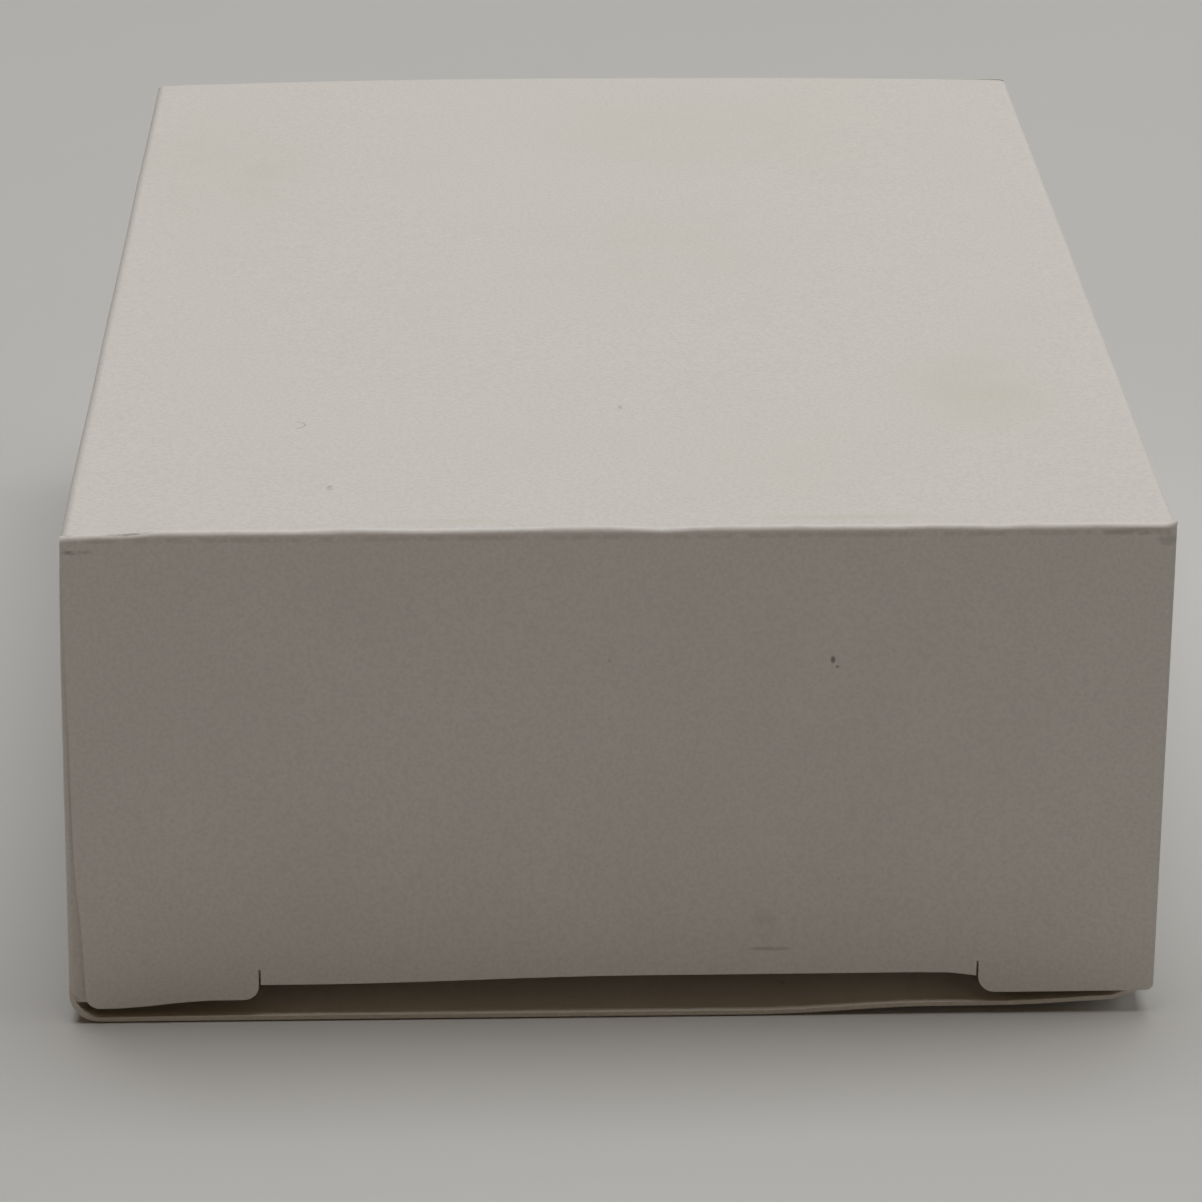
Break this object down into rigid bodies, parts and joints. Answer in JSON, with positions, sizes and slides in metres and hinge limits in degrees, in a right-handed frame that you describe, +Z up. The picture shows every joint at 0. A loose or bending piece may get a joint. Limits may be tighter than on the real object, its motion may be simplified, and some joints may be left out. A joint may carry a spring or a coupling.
{
  "type": "jewelry gift box",
  "caption": "Plain white tuck-end paperboard gift box with slit-lock end closures, dust flaps and a padded insert for jewelry.",
  "frame": {"origin": "middle of the closed box's footprint, on the surface that it stands on", "axes": "+Z up, +Y from the front closure to the rear closure (the longest side), +X to the right seen from the front"},
  "size_m": [0.1016, 0.1524, 0.0494],
  "materials": {
    "white_board": "clay-coated white paperboard, matte",
    "insert_board": "uncoated white card",
    "glue": "dried water-based carton adhesive",
    "foam": "soft open-cell foam",
    "flock": "short-pile flocked facing"
  },
  "bodies": {
    "sleeve": {"top_panel": "white_board", "bottom_panel": "white_board", "left_side_panel": "white_board", "right_side_panel": "white_board", "glue_flap": "white_board", "glue_line": "glue", "insert_deck": "insert_board", "insert_left_leg": "insert_board", "insert_right_leg": "insert_board", "foam_pad": "foam", "flocked_cover": "flock"},
    "front_closure": {"front_closure_panel": "white_board"},
    "front_tuck": {"front_tuck_flap": "white_board"},
    "front_left_dust": {"front_left_dust_flap": "white_board"},
    "front_right_dust": {"front_right_dust_flap": "white_board"},
    "rear_closure": {"rear_closure_panel": "white_board"},
    "rear_tuck": {"rear_tuck_flap": "white_board"},
    "rear_left_dust": {"rear_left_dust_flap": "white_board"},
    "rear_right_dust": {"rear_right_dust_flap": "white_board"}
  },
  "joints": [
    {"name": "front_closure_hinge", "type": "hinge", "parent": "sleeve", "child": "front_closure", "pos_m": [0, -0.07597, 0.04917], "axis": [-1, 0, 0], "range_deg": [0, 180]},
    {"name": "front_tuck_hinge", "type": "hinge", "parent": "front_closure", "child": "front_tuck", "pos_m": [0, -0.07597, 0.00409], "axis": [-1, 0, 0], "range_deg": [0, 90]},
    {"name": "front_left_dust_hinge", "type": "hinge", "parent": "sleeve", "child": "front_left_dust", "pos_m": [-0.05057, -0.07536, 0.0247], "axis": [0, 0, -1], "range_deg": [0, 120]},
    {"name": "front_right_dust_hinge", "type": "hinge", "parent": "sleeve", "child": "front_right_dust", "pos_m": [0.05057, -0.07536, 0.0247], "axis": [0, 0, 1], "range_deg": [0, 120]},
    {"name": "rear_closure_hinge", "type": "hinge", "parent": "sleeve", "child": "rear_closure", "pos_m": [0, 0.07597, 0.04917], "axis": [1, 0, 0], "range_deg": [0, 180]},
    {"name": "rear_tuck_hinge", "type": "hinge", "parent": "rear_closure", "child": "rear_tuck", "pos_m": [0, 0.07597, 0.00409], "axis": [1, 0, 0], "range_deg": [0, 90]},
    {"name": "rear_left_dust_hinge", "type": "hinge", "parent": "sleeve", "child": "rear_left_dust", "pos_m": [-0.05057, 0.07536, 0.0247], "axis": [0, 0, 1], "range_deg": [0, 120]},
    {"name": "rear_right_dust_hinge", "type": "hinge", "parent": "sleeve", "child": "rear_right_dust", "pos_m": [0.05057, 0.07536, 0.0247], "axis": [0, 0, -1], "range_deg": [0, 120]}
  ],
  "couplings": [
    {"joint": "front_tuck_hinge", "follows": "front_closure_hinge", "ratio": 0.05},
    {"joint": "front_left_dust_hinge", "follows": "front_closure_hinge", "ratio": 0.6},
    {"joint": "front_right_dust_hinge", "follows": "front_closure_hinge", "ratio": 0.6},
    {"joint": "rear_tuck_hinge", "follows": "rear_closure_hinge", "ratio": 0.05},
    {"joint": "rear_left_dust_hinge", "follows": "rear_closure_hinge", "ratio": 0.6},
    {"joint": "rear_right_dust_hinge", "follows": "rear_closure_hinge", "ratio": 0.6}
  ]
}
